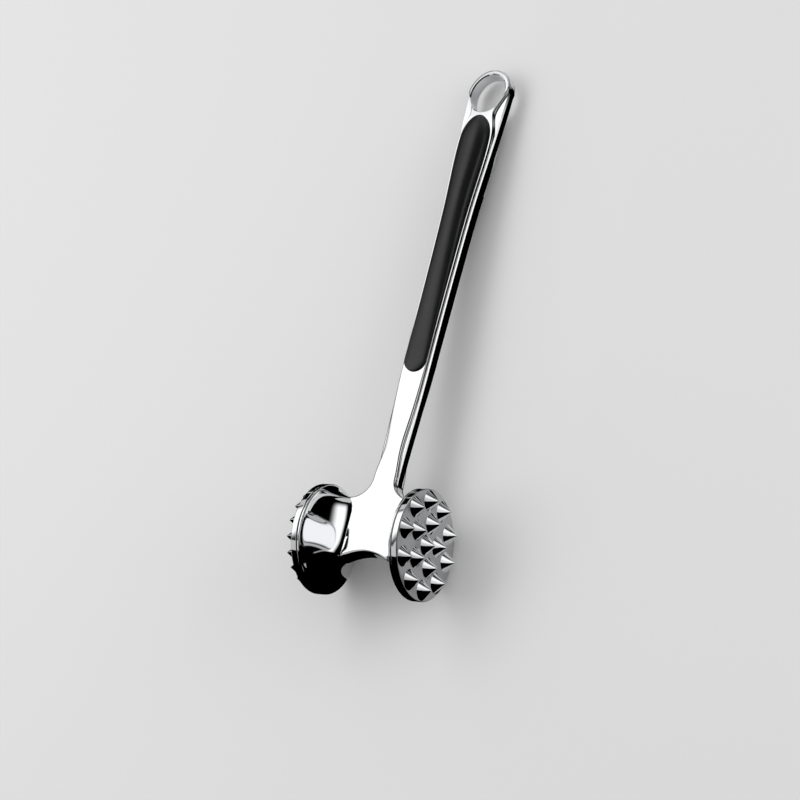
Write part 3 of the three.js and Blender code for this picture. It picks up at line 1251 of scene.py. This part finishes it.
@dataclass(frozen=True)
class Studio:
    """A pale floor, soft lamps and dark cards that give the metal something to reflect."""

    floor_size: float = 6.0
    floor_colour: Colour = (0.8, 0.8, 0.8)
    floor_roughness: float = 0.9
    sky: float = 0.62
    fixtures: tuple[Lamp | Softbox | Flag | FloorFlag, ...] = (
        Lamp("key_lamp", (1.5, 0.5), Stance((-0.56, 0.13, 0.8), (0, 0.06, 0)), 1.7),
        Lamp("side_lamp", (0.75, 0.36), Stance((0.8, 0.2, 0.38)), 1.5),
        Softbox(
            "key_softbox", (1.8, 0.72), Stance((-0.5, 0.45, 0.84), (0, 0.25, 0)), 1.35, (0.6, 0.5),
        ),
        Softbox("side_softbox", (1.2, 0.56), Stance((0.8, 0.2, 0.33)), 1.25, (0.5, 0.3)),
        Flag("side_flag", (1.9, 1.5), Stance((0.9, 0.2, 0.62))),
        Flag("overhead_flag", (0.72, 2.2), Stance((0.17, 0.1, 0.9), (0.17, 0.1, 0))),
        Flag("near_flag", (2.4, 1.2), Stance((0, -0.8, 0.15), (0, 0, 0.15))),
        Flag("near_right_flag", (0.84, 0.9), Stance((0.6, -0.58, 0.3), (-1, -0.58, 0.3))),
        Flag("far_flag", (0.16, 0.9), Stance((0.72, 0.91, 0.36))),
        Flag("far_left_flag", (1.0, 0.5), Stance((-0.9, 0.8, 0.2), (0, 0, 0.2))),
        FloorFlag("near_floor_flag", (1.23, 1.078), (-0.585, -0.661)),
        FloorFlag("near_right_floor_flag", (1.17, 1.05), (0.615, -0.66)),
        FloorFlag("handle_left_floor_flag", (0.27, 0.97), (-0.165, 0.42)),
        FloorFlag("handle_middle_floor_flag", (0.042, 0.136), (-0.009, 0.003)),
        FloorFlag("root_floor_flag", (0.015, 0.06), (0.0195, -0.094)),
        FloorFlag("handle_right_floor_flag", (0.038, 0.97), (0.031, 0.42)),
        FloorFlag("right_floor_flag", (1.22, 1.335), (0.69, 0.5325)),
        FloorFlag("left_floor_flag", (0.566, 0.057), (-0.317, -0.0935)),
    )

    def floor(self) -> None:
        """Lay the pale floor."""
        leave_edit()
        bpy.ops.mesh.primitive_plane_add(size=self.floor_size)
        floor = bpy.context.object
        floor.name = "floor"
        values = {"Base Color": (*self.floor_colour, 1), "Roughness": self.floor_roughness}
        sheet = Sheet("pale_floor", values)
        floor.data.materials.append(sheet.material)

    def world(self) -> None:
        """Fill the surroundings with an even pale light."""
        world = bpy.data.worlds.new("studio")
        world.use_nodes = True
        background = world.node_tree.nodes["Background"]
        background.inputs["Color"].default_value = (1, 1, 1, 1)
        background.inputs["Strength"].default_value = self.sky
        bpy.context.scene.world = world

    def build(self, axes: MalletAxes) -> None:
        """Set up the floor, the world, the lamps and the cards.

        Args:
            axes: Where the mallet's own axes lie.
        """
        self.floor()
        self.world()
        for fixture in self.fixtures:
            fixture.build(axes)


@dataclass(frozen=True)
class PhotoCamera:
    """The photograph's viewpoint, in the mallet's own axes and millimetres."""

    place: tuple[float, float, float] = (564.0, -326.6, 855.2)
    turn: tuple[float, float, float] = (-0.4307, -0.5295, -0.1426)
    lens: float = 108.0
    sensor: float = 36.0

    def build(self, axes: MalletAxes) -> None:
        """Create the scene's camera.

        Args:
            axes: Where the mallet's own axes lie.
        """
        data = bpy.data.cameras.new("camera")
        data.lens = self.lens
        data.sensor_width = self.sensor
        camera = bpy.data.objects.new("camera", data)
        bpy.context.scene.collection.objects.link(camera)
        vector = Vector(self.turn)
        to_camera = Matrix.Rotation(vector.length, 4, vector.normalized())
        place = Matrix.Translation(Vector(self.place) * MILLIMETRE)
        camera.matrix_world = axes.turn() @ place @ to_camera.inverted()
        bpy.context.scene.camera = camera


@dataclass
class Mallet:
    """The whole mallet."""

    axes: MalletAxes
    finishes: Finishes = Finishes()
    handle: Handle = Handle()
    head: Head = Head()
    grip: Grip = Grip()

    def casting(self) -> None:
        """Model and dress the polished casting."""
        body = skin("casting", self.handle.sections())
        combine(body, self.handle.eye_cutter(), Cut.REMOVE)
        for side in (1, -1):
            combine(body, self.grip.pocket_cutter(side), Cut.REMOVE)
        self.handle.thin(body)
        combine(body, self.head.model(), Cut.JOIN)
        for x in (-self.head.flat_inside, self.head.flat_inside):
            split(body, (x, 0, 0), (1, 0, 0))
        split(body, (0, self.handle.root_top, 0), (0, 1, 0))
        for side in (1, -1):
            combine(body, self.head.socket_cutter(side, Spigot()), Cut.REMOVE)
        chrome = self.finishes.chrome.build()
        Piece("body_casting", "casting", (chrome,), crisp_angle=32).settle(body, self.axes)

    def plates(self) -> None:
        """Model and dress both striking plates."""
        coarse_rings = (StudRing(1), StudRing(5, 0.41), StudRing(10, 0.79, turn_share=0.5))
        fine_rings = (
            StudRing(1), StudRing(6, 0.29),
            StudRing(12, 0.57, turn_share=0.5), StudRing(18, 0.85, turn_share=0.5),
        )
        materials = (self.finishes.satin.build(), self.finishes.stud.build())
        plates = {
            "coarse": StrikingPlate(Stud(diameter=9.5, height=4.6), coarse_rings, side=1),
            "fine": StrikingPlate(Stud(diameter=5.9, height=4.4, sides=32), fine_rings, side=-1),
        }
        for kind, design in plates.items():
            plate = design.model(f"{kind}_plate")
            piece = Piece(f"{kind}_striking_plate", "plates", materials, crisp_angle=24)
            piece.settle(plate, self.axes)
            design.paint(plate, self.axes)

    def grips(self) -> None:
        """Model and dress both soft grips."""
        rubber = self.finishes.rubber.build()
        for name, side in (("front", 1), ("back", -1)):
            inlay = self.grip.model(f"{name}_inlay", side)
            Piece(f"{name}_grip", "grips", (rubber,), crisp_angle=40).settle(inlay, self.axes)

    def build(self) -> None:
        """Build every piece."""
        self.casting()
        self.plates()
        self.grips()


def main() -> None:
    """Build the mallet, the studio and the camera."""
    logging.basicConfig(level=logging.INFO, format="%(name)s: %(message)s")
    axes = MalletAxes.from_frame()
    Mallet(axes).build()
    Studio().build(axes)
    PhotoCamera().build(axes)
    bpy.context.scene.view_settings.view_transform = "Standard"


if __name__ == "__main__":
    main()
